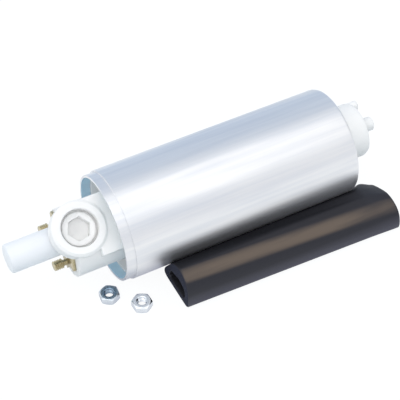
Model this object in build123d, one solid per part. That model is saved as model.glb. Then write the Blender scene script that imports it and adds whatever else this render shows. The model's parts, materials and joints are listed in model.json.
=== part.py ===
from build123d import *
import os
from math import cos, degrees, radians, sin, sqrt, tan

# Electric fuel pump lying on its side, with its loose terminal nuts and rubber sleeve beside it.
# Millimetres, +Z up. X runs along the pump's axis from the outlet end to the inlet end, and X = 0
# is the step where the casing narrows to its lip. The pump is drawn with its valve boss pointing
# up, and is then rolled about its axis into the pose in which it lies.

# casing
casing_radius = 21.5
casing_wall = 0.9
casing_length = 94.75
lip_length = 3.75
lip_radius = 20.9
crimp_overlap = 1.7
crimp_round = 1.2
roll_angle = 35.0

# clearances
seat_gap = 0.05
slide_gap = 0.1
shaft_gap = 0.03
spring_gap = 0.15

# outlet cover
cover_front = 3.0
cover_back = 11.0
rim_wall = 1.3
tower_radius = 13.3
tower_reach = 19.1
block_top = 13.0
block_half_width = 9.9
block_chamfer = 0.5
base_half_width = 10.2
base_reach = 10.4
boss_x = -15.0
boss_offset = 2.2
boss_radius = 10.5
boss_top = 14.0
boss_thickness = 7.6
boss_round = 1.0

# brush holder, which closes the cover from inside
holder_radius = 12.2
holder_front = 0.4
hub_radius = 6.0
hub_reach = 3.0

# outlet spigot and its dust cap
spigot_offset = 2.0
spigot_height = 0.3
spigot_radius = 4.4
spigot_bore = 2.6
spigot_reach = 35.4
cap_wall = 1.15
cap_length = 21.2
cap_end_wall = 1.2
cap_round = 0.9

# check valve in the outlet passage
chamber_radius = 3.9
chamber_front = -10.5
valve_seat_x = -3.5
valve_seat_width = 2.2
valve_port = 1.9
poppet_radius = 2.9
poppet_head = 1.5
poppet_stem = 0.9
poppet_nose = 1.2
poppet_nose_length = 0.8
guide_width = 1.8
guide_hub = 1.9
guide_rib = 0.9
check_spring_wall = 0.6
window_radius = 2.1
window_height = 8.9
gallery_front = -1.2

# relief valve under the hexagon plug
relief_port = 1.1
relief_seat_height = 3.6
relief_bore = 1.85
relief_poppet_radius = 1.6
relief_poppet_height = 1.8
relief_nose_radius = 0.4
relief_nose_height = 0.6
plug_bore_floor = 7.0
plug_radius = 5.3
plug_flange_radius = 6.3
plug_flange_seat = 10.4
plug_top = 11.8
plug_chamfer = 0.3
plug_socket = 8.0
plug_socket_turn = 8.0
plug_socket_depth = 3.2
plug_recess_radius = 1.5
plug_recess_depth = 1.0
boss_bore = 7.1
vent_radius = 0.8
vent_height = 6.0
relief_spring_radius = 1.2

# terminals
stud_radius = 2.0
near_stud_offset = 6.2
far_stud_offset = 8.0
stud_height = -7.0
stud_reach = 25.1
stud_chamfer = 0.3
neck_radius = 1.2
neck_length = 1.1
neck_taper = 0.4
tab_thickness = 1.0
tab_radius = 12.9
tab_inner = 2.25
tab_foot = 2.25
tab_belly = 4.8
tab_top = 0.9
tab_low = -8.75
tab_waist = -3.4
tab_corner = -1.8
tab_middle = 0.2
tab_high = 5.2
tab_notch_gap = 0.4
nut_flats = 7.0
nut_height = 3.2
nut_bore = 1.65
nut_chamfer = 0.35
front_nut_place = (-0.15, -24.12)
front_nut_turn = 32.5
rear_nut_place = (-9.31, -14.95)
rear_nut_turn = 24.0

# suppression chokes
choke_radius = 2.0
choke_height = -6.4
choke_length = 12.0
choke_gap = 0.2

# brushes
brush_width = 4.6
brush_height = 6.0
brush_length = 7.5
brush_spring_radius = 2.1
brush_spring_length = 7.0

# shaft, bearings and motor
shaft_radius = 2.0
shaft_end_chamfer = 0.3
shaft_front_gap = 0.6
bush_radius = 4.2
bush_length = 6.5
rear_bush_front = 6.8
commutator_face = 16.0
commutator_radius = 12.2
commutator_thickness = 2.6
commutator_bore = 4.6
segment_count = 8
segment_gap = 0.6
commutator_hub_length = 4.4
commutator_hub_radius = 10.6
commutator_to_coils = 1.6
core_length = 36.0
core_radius = 12.9
slot_count = 8
slot_mouth = 1.6
slot_floor = 6.9
slot_floor_width = 2.6
slot_top_width = 5.4
tooth_tip = 1.4
coil_gap = 0.15
end_turn_length = 5.4
end_turn_radius = 11.8
end_turn_bore = 3.2
end_turn_chamfer = 2.4
magnet_gap = 0.6
magnet_thickness = 4.9
magnet_arc = 140.0
magnet_overhang = 1.0
clip_thickness = 0.6
clip_leg = 3.2
clip_setback = 2.0

# pump stage
outlet_plate_width = 7.0
outlet_plate_hub = 1.5
outlet_port_radius = 1.9
stage_width = 4.0
stage_gap = 0.06
impeller_radius = 16.5
vane_count = 24
vane_depth = 2.6
vane_web = 0.8
vane_thickness = 1.1
channel_depth = 1.8
ring_bore = 17.9
gate_angle = 149.0
gate_width = 34.0
gate_gap = 0.15
port_lead = 9.0
flat_depth = 0.5
shaft_overhang = 1.0

# inlet cover
inlet_cover_width = 6.8
inlet_land = 0.6
nozzle_radius = 10.9
nozzle_wall = 2.6
nozzle_length = 12.4
nozzle_offset = 0.75
nozzle_round = 1.9
nozzle_floor_depth = 1.75
centre_pin_radius = 2.8
centre_pin_length = 19.2
centre_pin_chamfer = 0.5
nozzle_rib = 1.6
nozzle_rib_depth = 3.1
nub_radius = 1.9
nub_inset = 2.1
nub_length = 15.9
nub_root = 4.0
inlet_port_radius = 2.4
thrust_pad_thickness = 1.35

# seals
seal_thickness = 1.9
seal_width = 2.0

# rubber sleeve, pressed flat and lying against the casing
sleeve_wall = 2.6
sleeve_gap = 0.5
sleeve_fold_round = 2.6
near_end = dict(x=14.1, lean=30.5, shoulder=10.3, width=20.6, height=16.0, crown=8.1, foot=2.4, brow=6.0)
waist = dict(x=95.0, lean=47.0, shoulder=8.8, width=27.2, height=11.7, crown=12.0, foot=2.4, brow=6.0)
far_end = dict(x=105.8, lean=51.0, shoulder=7.8, width=28.4, height=11.1, crown=12.5, foot=2.4, brow=6.0)
sleeve_crown_round = 4.6
sleeve_shoulder_round = 6.0

# places that follow from the sizes above
inner_radius = casing_radius - casing_wall
cover_radius = inner_radius - slide_gap
lip_bore = lip_radius - casing_wall
floor_height = -casing_radius
crimp_inside = casing_length - casing_wall
crimp_bore = inner_radius - crimp_overlap
stage_back = crimp_inside - seat_gap - inlet_cover_width
stage_front = stage_back - stage_width
outlet_plate_front = stage_front - outlet_plate_width
front_bush_start = outlet_plate_front - outlet_plate_hub
shaft_front = rear_bush_front - shaft_front_gap
shaft_back = stage_back + shaft_overhang
commutator_back = commutator_face + commutator_thickness
core_front = commutator_back + commutator_hub_length + commutator_to_coils + end_turn_length
core_back = core_front + core_length
slot_top = core_radius - tooth_tip
magnet_inner = core_radius + magnet_gap
magnet_outer = magnet_inner + magnet_thickness
impeller_root = impeller_radius - vane_depth
brush_offset = hub_radius + 2 * slide_gap + brush_width / 2
brush_front = commutator_face - seat_gap
brush_pocket_end = brush_front - brush_length - brush_spring_length - 2 * spring_gap
choke_front = -tower_reach + seat_gap
seal_floor = cover_radius - seal_thickness
nozzle_bore = nozzle_radius - nozzle_wall
nozzle_end = casing_length + nozzle_length
nozzle_floor = casing_length - nozzle_floor_depth
cap_bore = spigot_radius + seat_gap
cap_open_end = -tower_reach - tab_thickness - slide_gap


def turned(*points):
    """Solid of revolution about X from (x, radius) points."""
    return revolve(make_face(Polyline(*points, close=True)), Axis.X)


def rounded(x, radius, size, steps, end=1):
    """Points round the outer corner of a turned profile, outwards from the flank to the end face."""
    points = []
    for i in range(steps + 1):
        along_arc, out = spot(size, 90 - 90 * i / steps)
        points.append((x - end * (size - along_arc), radius - size + out))
    return points


def cross(x):
    """Plane across the axis at x, with its own x along Y and its own y along Z."""
    return Plane(origin=(x, 0, 0), x_dir=(0, 1, 0), z_dir=(1, 0, 0))


def along(start, end, sketch):
    """Sketch in (Y, Z), drawn out along the axis from start to end."""
    return extrude(cross(start) * sketch, amount=end - start)


def rod(start, end, radius, y=0.0, z=0.0):
    return along(start, end, Pos(y, z) * Circle(radius))


def tube(start, end, outer, inner, y=0.0, z=0.0):
    return along(start, end, Pos(y, z) * (Circle(outer) - Circle(inner)))


def standing(*points):
    """Solid of revolution about the boss's axis from (height, radius) points."""
    return Pos(boss_x, boss_offset, 0) * Rot(0, -90, 0) * turned(*points)


def post(low, high, radius):
    return standing((low, 0), (low, radius), (high, radius), (high, 0))


def brick(x0, x1, y0, y1, z0, z1):
    return Pos((x0 + x1) / 2, (y0 + y1) / 2, (z0 + z1) / 2) * Box(x1 - x0, y1 - y0, z1 - z0)


def spot(radius, degrees):
    return (radius * cos(radians(degrees)), radius * sin(radians(degrees)))


def wedge(outer, inner, start, sweep):
    """Sector of a ring, in (Y, Z), from the angle start over the angle sweep."""
    middle = start + sweep / 2
    end = start + sweep
    outline = (
        Line(spot(inner, start), spot(outer, start))
        + ThreePointArc(spot(outer, start), spot(outer, middle), spot(outer, end))
        + Line(spot(outer, end), spot(inner, end))
        + ThreePointArc(spot(inner, end), spot(inner, middle), spot(inner, start))
    )
    return make_face(outline)


def save(name, shape, rolled=True):
    """Write one node, rolled with the pump unless it lies on the floor by itself."""
    solids = shape.solids()
    body = solids[0] if len(solids) == 1 else Compound(children=list(solids))
    if rolled:
        body = Rot(roll_angle, 0, 0) * body
    export_step(body, f"parts/{name}.step")


def make_casing():
    """Drawn tube with a narrower lip at the outlet end and its other end crimped over the cover."""
    return turned(
        (-lip_length, lip_bore),
        (-lip_length, lip_radius),
        (0, lip_radius),
        (0, casing_radius),
        *rounded(casing_length, casing_radius, crimp_round, 2),
        (casing_length, crimp_bore),
        (crimp_inside, crimp_bore),
        (crimp_inside, inner_radius),
        (0, inner_radius),
        (0, lip_bore),
    )


def make_outlet_cover():
    """Moulding with the valve tower, the boss of the relief valve and the spigot, hollow behind them."""
    body = turned(
        (seat_gap, cover_radius - rim_wall),
        (seat_gap, cover_radius),
        (cover_back - seal_width, cover_radius),
        (cover_back - seal_width, seal_floor),
        (cover_back, seal_floor),
        (cover_back, 0),
        (-tower_reach, 0),
        (-tower_reach, tower_radius),
        (cover_front, tower_radius),
        (cover_front, cover_radius - rim_wall),
    )
    body += brick(-base_reach, cover_front, -base_half_width, base_half_width, 0, block_top)
    left = boss_offset - block_half_width
    right = boss_offset + block_half_width
    block = brick(-tower_reach, cover_front, left, right, 0, block_top)
    body += chamfer(block.edges().filter_by(Axis.X).sort_by(Axis.Z)[-2:], block_chamfer)
    underside = boss_top - boss_thickness
    rim = rounded(boss_top, boss_radius, boss_round, 1)
    body += standing((underside, 0), (underside, boss_radius), *rim, (boss_top, 0))
    body += rod(-spigot_reach, -tower_reach + 0.5, spigot_radius, spigot_offset, spigot_height)
    body -= rod(holder_front, cover_back + 1, holder_radius)
    choke_end = choke_front + choke_length + choke_gap
    for side in (-1, 1):
        body -= rod(-tower_reach - 1, choke_end, choke_radius + choke_gap, stud_middle(side), choke_height)
    return body - cover_passages()


def cover_passages():
    """Fuel's way out: gallery, check valve chamber, spigot bore and relief valve bores."""
    back = holder_front + 0.5
    cuts = rod(gallery_front, back, window_radius, spigot_offset, window_height)
    left = spigot_offset - window_radius
    right = spigot_offset + window_radius
    cuts += brick(gallery_front, back, left, right, spigot_height, window_height)
    cuts += rod(chamber_front, back, chamber_radius, spigot_offset, spigot_height)
    cuts += rod(-spigot_reach - 1, chamber_front + 1, spigot_bore, spigot_offset, spigot_height)
    cuts += post(spigot_height, relief_seat_height + 0.5, relief_port)
    cuts += post(relief_seat_height, plug_bore_floor + 0.5, relief_bore)
    cuts += post(plug_bore_floor, plug_flange_seat + 0.5, plug_radius + seat_gap)
    cuts += post(plug_flange_seat, boss_top + 1, boss_bore)
    vent = Cylinder(vent_radius, tower_radius, align=(Align.CENTER, Align.CENTER, Align.MIN))
    cuts += Pos(boss_x, boss_offset, vent_height) * Rot(-90, 0, 0) * vent
    return cuts


def make_brush_holder():
    """Moulding behind the outlet cover, with the brushes' pockets, the rear bearing's seat and a fuel window."""
    hub_end = cover_back + hub_reach
    body = rod(holder_front + seat_gap, cover_back, holder_radius - seat_gap)
    body += rod(cover_back - 0.5, hub_end, hub_radius)
    body -= rod(rear_bush_front, hub_end + 1, bush_radius + seat_gap)
    body -= rod(shaft_front - shaft_front_gap, rear_bush_front + 0.5, shaft_radius + shaft_front_gap)
    pocket = Rectangle(brush_width + 2 * slide_gap, brush_height + 2 * slide_gap)
    for side in (-1, 1):
        body -= along(brush_pocket_end, cover_back + 1, Pos(side * brush_offset, 0) * pocket)
    return body - rod(holder_front - 1, cover_back + 1, window_radius, spigot_offset, window_height)


def make_dust_cap():
    end = cap_open_end - cap_length
    cap = turned(
        (end, 0),
        *reversed(rounded(end, cap_bore + cap_wall, cap_round, 2, end=-1)),
        (cap_open_end, cap_bore + cap_wall),
        (cap_open_end, cap_bore),
        (end + cap_end_wall, cap_bore),
        (end + cap_end_wall, 0),
    )
    return Pos(0, spigot_offset, spigot_height) * cap


def make_check_valve_seat():
    back = valve_seat_x + valve_seat_width
    return tube(valve_seat_x, back, chamber_radius - seat_gap, valve_port, spigot_offset, spigot_height)


def make_check_valve_poppet():
    """Disc that closes on the seat, with a tapered nose in the port and a stem that slides in the guide."""
    face = valve_seat_x - seat_gap
    poppet = turned(
        (chamber_front + 0.4, 0),
        (chamber_front + 0.4, poppet_stem),
        (face - poppet_head, poppet_stem),
        (face - poppet_head, poppet_radius),
        (face, poppet_radius),
        (face, valve_port - slide_gap),
        (face + poppet_nose_length, poppet_nose),
        (face + poppet_nose_length, 0),
    )
    return Pos(0, spigot_offset, spigot_height) * poppet


def make_check_valve_guide():
    """Hub and three arms that leave the fuel room to pass."""
    start = chamber_front + seat_gap
    outer = chamber_radius - seat_gap
    arm = Pos(outer / 2, 0) * Rectangle(outer, guide_rib)
    arms = Sketch() + [Rot(0, 0, angle) * arm for angle in (90, 210, 330)]
    spider = arms + Circle(guide_hub) - Circle(poppet_stem + shaft_gap)
    return along(start, start + guide_width, Pos(spigot_offset, spigot_height) * spider)


def make_check_valve_spring():
    start = chamber_front + seat_gap + guide_width + spring_gap
    end = valve_seat_x - seat_gap - poppet_head - spring_gap
    inner = poppet_stem + spring_gap
    return tube(start, end, inner + check_spring_wall, inner, spigot_offset, spigot_height)


def make_relief_poppet():
    """Small piston that closes the relief port, with a tapered nose in it."""
    foot = relief_seat_height + seat_gap
    top = foot + relief_poppet_height
    return standing(
        (foot - relief_nose_height, 0),
        (foot - relief_nose_height, relief_nose_radius),
        (foot, relief_port - slide_gap),
        (foot, relief_poppet_radius),
        (top, relief_poppet_radius),
        (top, 0),
    )


def make_relief_spring():
    """Plain solid of the spring's size, from the poppet up into the plug's recess."""
    low = relief_seat_height + seat_gap + relief_poppet_height + seat_gap
    return post(low, plug_bore_floor + plug_recess_depth, relief_spring_radius)


def make_relief_plug():
    bottom = plug_bore_floor + seat_gap
    flange = plug_flange_seat + seat_gap
    plug = standing(
        (bottom, 0),
        (bottom, plug_radius),
        (flange, plug_radius),
        (flange, plug_flange_radius),
        (plug_top - plug_chamfer, plug_flange_radius),
        (plug_top, plug_flange_radius - plug_chamfer),
        (plug_top, 0),
    )
    hexagon = RegularPolygon(plug_socket / sqrt(3), 6, rotation=plug_socket_turn)
    plug -= Pos(boss_x, boss_offset, plug_top - plug_socket_depth) * extrude(hexagon, plug_socket_depth + 1)
    return plug - post(bottom - 1, bottom + plug_recess_depth, plug_recess_radius)


def stud_middle(side):
    """How far a terminal's stud stands beside the pump's axis: the far one stands further out."""
    return far_stud_offset if side > 0 else -near_stud_offset


def make_terminal(side):
    """Brass contact tab on the tower's end, with a threaded stud on a thinner neck."""
    face = -tower_reach - tab_thickness
    neck_end = face - neck_length
    middle = stud_middle(side)
    outline = (
        (-tab_inner, tab_low),
        (tab_foot, tab_low),
        (tab_foot, tab_waist),
        (tab_belly - 0.3, tab_corner),
        (tab_belly, tab_middle),
        (tab_top, tab_high),
        (-tab_inner, tab_high),
    )
    corners = [(middle + side * out, height) for out, height in outline]
    tab = make_face(Polyline(*corners, close=True)) & Circle(tab_radius)
    tab -= Pos(spigot_offset, spigot_height) * Circle(spigot_radius + tab_notch_gap)
    stud = turned(
        (-stud_reach, 0),
        (-stud_reach, stud_radius - stud_chamfer),
        (-stud_reach + stud_chamfer, stud_radius),
        (neck_end - neck_taper, stud_radius),
        (neck_end, neck_radius),
        (face, neck_radius),
        (face, 0),
    )
    return along(face, -tower_reach, tab) + Pos(0, middle, stud_height) * stud


def make_choke(side):
    """Suppression choke, as one rod of its winding's size."""
    return rod(choke_front, choke_front + choke_length, choke_radius, stud_middle(side), choke_height)


def make_brush(side):
    section = Pos(side * brush_offset, 0) * Rectangle(brush_width, brush_height)
    return along(brush_front - brush_length, brush_front, section)


def make_brush_spring(side):
    """Plain solid of the spring's size, between the pocket's end and the brush."""
    end = brush_front - brush_length - spring_gap
    return rod(end - brush_spring_length, end, brush_spring_radius, side * brush_offset)


def make_bush(start):
    return tube(start, start + bush_length, bush_radius, shaft_radius + shaft_gap)


def make_shaft():
    shaft = rod(shaft_front, shaft_back, shaft_radius)
    shaft = chamfer(shaft.edges().filter_by(GeomType.CIRCLE), shaft_end_chamfer)
    flat = shaft_radius - flat_depth
    return shaft - brick(stage_front, shaft_back + 1, -shaft_radius, shaft_radius, flat, shaft_radius + 1)


def make_commutator_segments():
    """Flat ring of copper segments that the brushes press on, end on."""
    ring = tube(commutator_face, commutator_back, commutator_radius, commutator_bore)
    reach = commutator_radius + 1
    cut = brick(commutator_face - 1, commutator_back + 1, -reach, reach, -segment_gap / 2, segment_gap / 2)
    for i in range(segment_count // 2):
        ring -= Rot(360 / segment_count * i, 0, 0) * cut
    return ring


def make_commutator_hub():
    """Moulded hub that carries the segments on its face."""
    return tube(commutator_back, commutator_back + commutator_hub_length, commutator_hub_radius, shaft_radius)


def slot_pocket(inset=0.0):
    """Tapered pocket of one winding slot, or with an inset the bundle of wires that lies in it."""
    low, high = slot_floor + inset, slot_top - inset
    half_low, half_high = slot_floor_width / 2 - inset, slot_top_width / 2 - inset
    corners = ((low, -half_low), (high, -half_high), (high, half_high), (low, half_low))
    return make_face(Polyline(*corners, close=True))


def slot_angles():
    return [360 / slot_count * (i + 0.5) for i in range(slot_count)]


def make_armature_core():
    section = Circle(core_radius) - Circle(shaft_radius)
    slot = slot_pocket() + Pos(core_radius, 0) * Rectangle(2 * tooth_tip + 0.2, slot_mouth)
    for angle in slot_angles():
        section -= Rot(0, 0, angle) * slot
    return along(core_front, core_back, section)


def make_windings():
    """End turns on both sides of the core, joined by the wires that fill its slots."""
    coils = Part()
    for near, way in ((core_front, -1), (core_back, 1)):
        far = near + way * end_turn_length
        coils += turned(
            (near, end_turn_bore),
            (near, end_turn_radius),
            (far - way * end_turn_chamfer, end_turn_radius),
            (far, end_turn_radius - end_turn_chamfer),
            (far, end_turn_bore),
        )
    for angle in slot_angles():
        coils += along(core_front - 0.5, core_back + 0.5, Rot(0, 0, angle) * slot_pocket(coil_gap))
    return coils


def make_magnet(side):
    section = wedge(magnet_outer, magnet_inner, side * 90 - magnet_arc / 2, magnet_arc)
    return along(core_front - magnet_overhang, core_back + magnet_overhang, section)


def make_clips():
    """Two spring strips, U-shaped in section, that press the magnets apart."""
    inner = magnet_inner + clip_thickness
    outer = magnet_outer - seat_gap
    leg = clip_leg
    reach = 180 - magnet_arc - 2 * 0.4
    clips = []
    for middle in (0, 180):
        start = middle - reach / 2
        section = wedge(outer, inner, start, leg) + wedge(outer, inner, start + reach - leg, leg)
        section += wedge(outer, outer - clip_thickness, start, reach)
        clips += along(core_front + clip_setback, core_back - clip_setback, section).solids()
    return Compound(children=clips)


def make_flux_ring():
    start, end = cover_back + seat_gap, outlet_plate_front - seat_gap
    return tube(start, end, inner_radius - seat_gap, magnet_outer + seat_gap)


def side_channel(start, end):
    """Groove beside the vanes, open from the inlet port round to the outlet port."""
    return along(start, end, wedge(ring_bore, impeller_root, gate_angle + gate_width / 2, 360 - gate_width))


def port_angle(side):
    return gate_angle + side * (gate_width / 2 + port_lead)


def make_outlet_plate():
    """Bearing plate between the motor and the impeller, with the outlet port and its side channel."""
    plate = turned(
        (outlet_plate_front, hub_radius + outlet_plate_hub),
        (outlet_plate_front, cover_radius),
        (stage_front, cover_radius),
        (stage_front, 0),
        (front_bush_start, 0),
        (front_bush_start, hub_radius),
    )
    plate -= rod(front_bush_start - 1, front_bush_start + bush_length, bush_radius + seat_gap)
    plate -= rod(front_bush_start, stage_front + 1, shaft_radius + slide_gap)
    plate -= side_channel(stage_front - channel_depth, stage_front + 1)
    y, z = spot((ring_bore + impeller_root) / 2, port_angle(-1))
    return plate - rod(outlet_plate_front - 1, stage_front, outlet_port_radius, y, z)


def make_pump_ring():
    """Ring round the impeller, closed up to the vane tips between the two ports."""
    ring = Circle(cover_radius) - Circle(ring_bore)
    gate = wedge(ring_bore + 0.5, impeller_radius + gate_gap, gate_angle - gate_width / 2, gate_width)
    return along(stage_front + seat_gap, stage_back - seat_gap, ring + gate)


def make_impeller():
    """Disc with a D-shaped bore and, round its rim on both faces, a row of pockets between vanes."""
    start = stage_front + stage_gap
    end = stage_back - stage_gap
    middle = (start + end) / 2
    bore_radius = shaft_radius + shaft_gap
    flat = shaft_radius - flat_depth + shaft_gap
    section = Circle(impeller_radius) - Circle(bore_radius)
    section += Pos(0, flat + shaft_radius / 2) * Rectangle(2 * bore_radius, shaft_radius)
    wheel = along(start, end, section)
    step = 360 / vane_count
    vane_angle = degrees(vane_thickness / impeller_radius)
    left, right = vane_angle / 2, step - vane_angle / 2
    rim = impeller_radius + 1
    corners = (spot(impeller_root, left), spot(rim, left), spot(rim, right), spot(impeller_root, right))
    pocket = make_face(Polyline(*corners, close=True))
    pockets = [Rot(0, 0, step * i) * pocket for i in range(vane_count)]
    wheel -= [along(start - 1, middle - vane_web / 2, shape) for shape in pockets]
    return wheel - [along(middle + vane_web / 2, end + 1, shape) for shape in pockets]


def make_inlet_cover():
    """End cover with the inlet nozzle, its centre pin on three ribs, and the inlet side channel."""
    shoulder = crimp_inside - seat_gap
    opening = crimp_bore - slide_gap
    land = casing_length + inlet_land
    cover = turned(
        (stage_back, 0),
        (stage_back, seal_floor),
        (stage_back + seal_width, seal_floor),
        (stage_back + seal_width, cover_radius),
        (shoulder, cover_radius),
        (shoulder, opening),
        (land, opening),
        (land, 0),
    )
    rim = rounded(nozzle_end, nozzle_radius, nozzle_round, 2)
    nozzle = turned((land - 0.5, 0), (land - 0.5, nozzle_radius), *rim, (nozzle_end, 0))
    cover += Pos(0, nozzle_offset, 0) * nozzle
    cover -= rod(nozzle_floor, nozzle_end + 1, nozzle_bore, nozzle_offset)
    cover += Pos(0, nozzle_offset, 0) * make_centre_pin()
    cover -= side_channel(stage_back - 1, stage_back + channel_depth)
    cover -= rod(stage_back - 1, shaft_back + seat_gap + thrust_pad_thickness, shaft_radius + 0.3 + seat_gap)
    return cover - inlet_port()


def make_centre_pin():
    """Pin in the nozzle, the three ribs that carry it, and the nub on the nozzle's rim."""
    tip = casing_length + centre_pin_length
    pin = turned(
        (nozzle_floor - 0.5, 0),
        (nozzle_floor - 0.5, centre_pin_radius),
        (tip - centre_pin_chamfer, centre_pin_radius),
        (tip, centre_pin_radius - centre_pin_chamfer),
        (tip, 0),
    )
    reach = nozzle_bore - centre_pin_radius + 1
    rib = Pos(centre_pin_radius - 0.5 + reach / 2, 0) * Rectangle(reach, nozzle_rib)
    for angle in (30, 150, 270):
        pin += along(nozzle_floor - 0.5, nozzle_end - nozzle_rib_depth, Rot(0, 0, angle - roll_angle) * rib)
    return pin + rod(nozzle_end - nub_root, casing_length + nub_length, nub_radius, nozzle_radius - nub_inset)


def inlet_port():
    """Slanting hole from the nozzle's floor to the start of the side channel."""
    y0, z0 = spot((ring_bore + impeller_root) / 2, port_angle(1))
    y1, z1 = spot(nozzle_bore - inlet_port_radius, port_angle(1))
    low = Vector(stage_back + 0.3, y0, z0)
    high = Vector(nozzle_floor + 0.3, y1 + nozzle_offset, z1)
    direction = high - low
    return extrude(Plane(origin=low, z_dir=direction) * Circle(inlet_port_radius), amount=direction.length)


def make_thrust_pad():
    start = shaft_back + seat_gap
    return rod(start, start + thrust_pad_thickness, shaft_radius + 0.3)


def make_seal(x):
    """Square-cut ring between a cover's step and the casing's wall."""
    gap = seat_gap / 2
    return tube(x + gap, x + seal_width - gap, inner_radius - seat_gap, seal_floor + seat_gap)


def make_nut(place, turn):
    """Hexagon nut with chamfered corners, standing flat on the floor."""
    corner = nut_flats / sqrt(3)
    standing = (Align.CENTER, Align.CENTER, Align.MIN)
    blank = extrude(RegularPolygon(corner, 6), amount=nut_height)
    dome = Cylinder(corner + 0.02, nut_height, align=standing)
    dome = chamfer(dome.edges().filter_by(GeomType.CIRCLE), nut_chamfer, nut_chamfer * 1.7)
    nut = (blank & dome) - Cylinder(nut_bore, nut_height, align=standing)
    return Pos(*place, floor_height) * Rot(0, 0, turn) * nut


def sleeve_outline(x, lean, shoulder, width, height, crown, foot, brow, inset=0.0):
    """Closed outline at x: five corners, each rounded.

    Its back leans against the casing at the angle lean, up to the height shoulder. The crown is the
    level stretch on top, and the brow and foot are the rounds at the front.
    """
    rest = casing_radius + sleeve_gap
    level = casing_radius
    touch_y, touch_z = -rest * cos(radians(lean)), level - rest * sin(radians(lean))
    back = touch_y + touch_z * tan(radians(lean))
    front = back - width
    corners = (
        ((back, 0), sleeve_fold_round),
        ((back - shoulder * tan(radians(lean)), shoulder), sleeve_shoulder_round),
        ((front + crown, height), sleeve_crown_round),
        ((front, height), brow),
        ((front, 0), foot),
    )
    face = make_face(Polyline(*[corner for corner, _ in corners], close=True))
    order = [radius for _, radius in corners]
    spots = [Vector(*corner) for corner, _ in corners]
    if inset:
        face = offset(face, amount=-inset, kind=Kind.INTERSECTION).face()
    for place, radius in zip(spots, order):
        if radius - inset > 0.3:
            nearest = face.vertices().sort_by_distance(place)[0]
            face = fillet(nearest, radius - inset)
    return cross(x) * Pos(0, floor_height) * face


def make_rubber_sleeve():
    outer = [sleeve_outline(**place) for place in (near_end, waist, far_end)]
    inner = [sleeve_outline(**place, inset=sleeve_wall) for place in (near_end, waist, far_end)]
    return loft(outer, ruled=True) - loft(inner, ruled=True)


def main():
    os.makedirs("parts", exist_ok=True)
    save("casing", make_casing())
    save("outlet_cover", make_outlet_cover())
    save("brush_holder", make_brush_holder())
    save("dust_cap", make_dust_cap())
    save("check_valve_seat", make_check_valve_seat())
    save("check_valve_poppet", make_check_valve_poppet())
    save("check_valve_guide", make_check_valve_guide())
    save("check_valve_spring", make_check_valve_spring())
    save("relief_valve_poppet", make_relief_poppet())
    save("relief_valve_spring", make_relief_spring())
    save("relief_valve_plug", make_relief_plug())
    for name, side in (("positive", -1), ("negative", 1)):
        save(f"{name}_terminal", make_terminal(side))
        save(f"{name}_choke", make_choke(side))
        save(f"{name}_brush", make_brush(side))
        save(f"{name}_brush_spring", make_brush_spring(side))
    save("rear_bearing_bush", make_bush(rear_bush_front))
    save("front_bearing_bush", make_bush(front_bush_start))
    save("armature_shaft", make_shaft())
    save("commutator_segments", make_commutator_segments())
    save("commutator_hub", make_commutator_hub())
    save("armature_core", make_armature_core())
    save("armature_windings", make_windings())
    save("upper_magnet", make_magnet(1))
    save("lower_magnet", make_magnet(-1))
    save("magnet_clips", make_clips())
    save("flux_ring", make_flux_ring())
    save("pump_outlet_plate", make_outlet_plate())
    save("pump_ring", make_pump_ring())
    save("impeller", make_impeller())
    save("inlet_cover", make_inlet_cover())
    save("thrust_pad", make_thrust_pad())
    save("outlet_seal", make_seal(cover_back - seal_width))
    save("inlet_seal", make_seal(stage_back))
    save("front_nut", make_nut(front_nut_place, front_nut_turn), rolled=False)
    save("rear_nut", make_nut(rear_nut_place, rear_nut_turn), rolled=False)
    save("rubber_sleeve", make_rubber_sleeve(), rolled=False)


main()
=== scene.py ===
import json
import bmesh
import bpy
import numpy as np
from math import cos, pi, radians, sin, tan
from mathutils import Matrix, Vector


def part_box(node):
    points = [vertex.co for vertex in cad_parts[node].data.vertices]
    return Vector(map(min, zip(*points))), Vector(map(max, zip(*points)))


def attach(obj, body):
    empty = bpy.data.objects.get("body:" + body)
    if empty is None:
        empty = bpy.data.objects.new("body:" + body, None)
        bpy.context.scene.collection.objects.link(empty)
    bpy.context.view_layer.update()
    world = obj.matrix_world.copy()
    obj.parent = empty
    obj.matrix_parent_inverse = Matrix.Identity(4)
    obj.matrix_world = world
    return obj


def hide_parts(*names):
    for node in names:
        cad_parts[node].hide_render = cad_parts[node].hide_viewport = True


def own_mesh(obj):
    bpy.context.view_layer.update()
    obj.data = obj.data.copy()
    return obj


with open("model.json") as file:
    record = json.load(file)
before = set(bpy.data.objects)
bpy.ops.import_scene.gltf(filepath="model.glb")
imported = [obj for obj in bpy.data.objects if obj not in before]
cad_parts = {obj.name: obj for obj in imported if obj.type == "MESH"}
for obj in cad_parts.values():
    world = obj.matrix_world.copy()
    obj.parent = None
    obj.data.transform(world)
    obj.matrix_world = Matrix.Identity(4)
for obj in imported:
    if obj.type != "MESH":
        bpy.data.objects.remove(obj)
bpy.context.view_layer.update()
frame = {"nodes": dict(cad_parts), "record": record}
nodes = frame["nodes"]
record = frame["record"]
mounts = {mount["name"]: mount for mount in record["mounts"]}
slotOf = {row["node"]: row["material_slot"] for row in record["subparts"]}
mm = 0.001
rollAngle = radians(35)  # the valve boss leans this far from upright
white = (1.0, 1.0, 1.0, 1.0)
print("frame loaded:", len(nodes), "nodes")


# small tools for node trees
def addNode(tree, kind, inputs=None, **settings):
    made = tree.nodes.new(kind)
    for key, value in settings.items():
        setattr(made, key, value)
    for key, value in (inputs or {}).items():
        if isinstance(value, bpy.types.NodeSocket):
            tree.links.new(value, made.inputs[key])
        else:
            made.inputs[key].default_value = value
    return made


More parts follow.
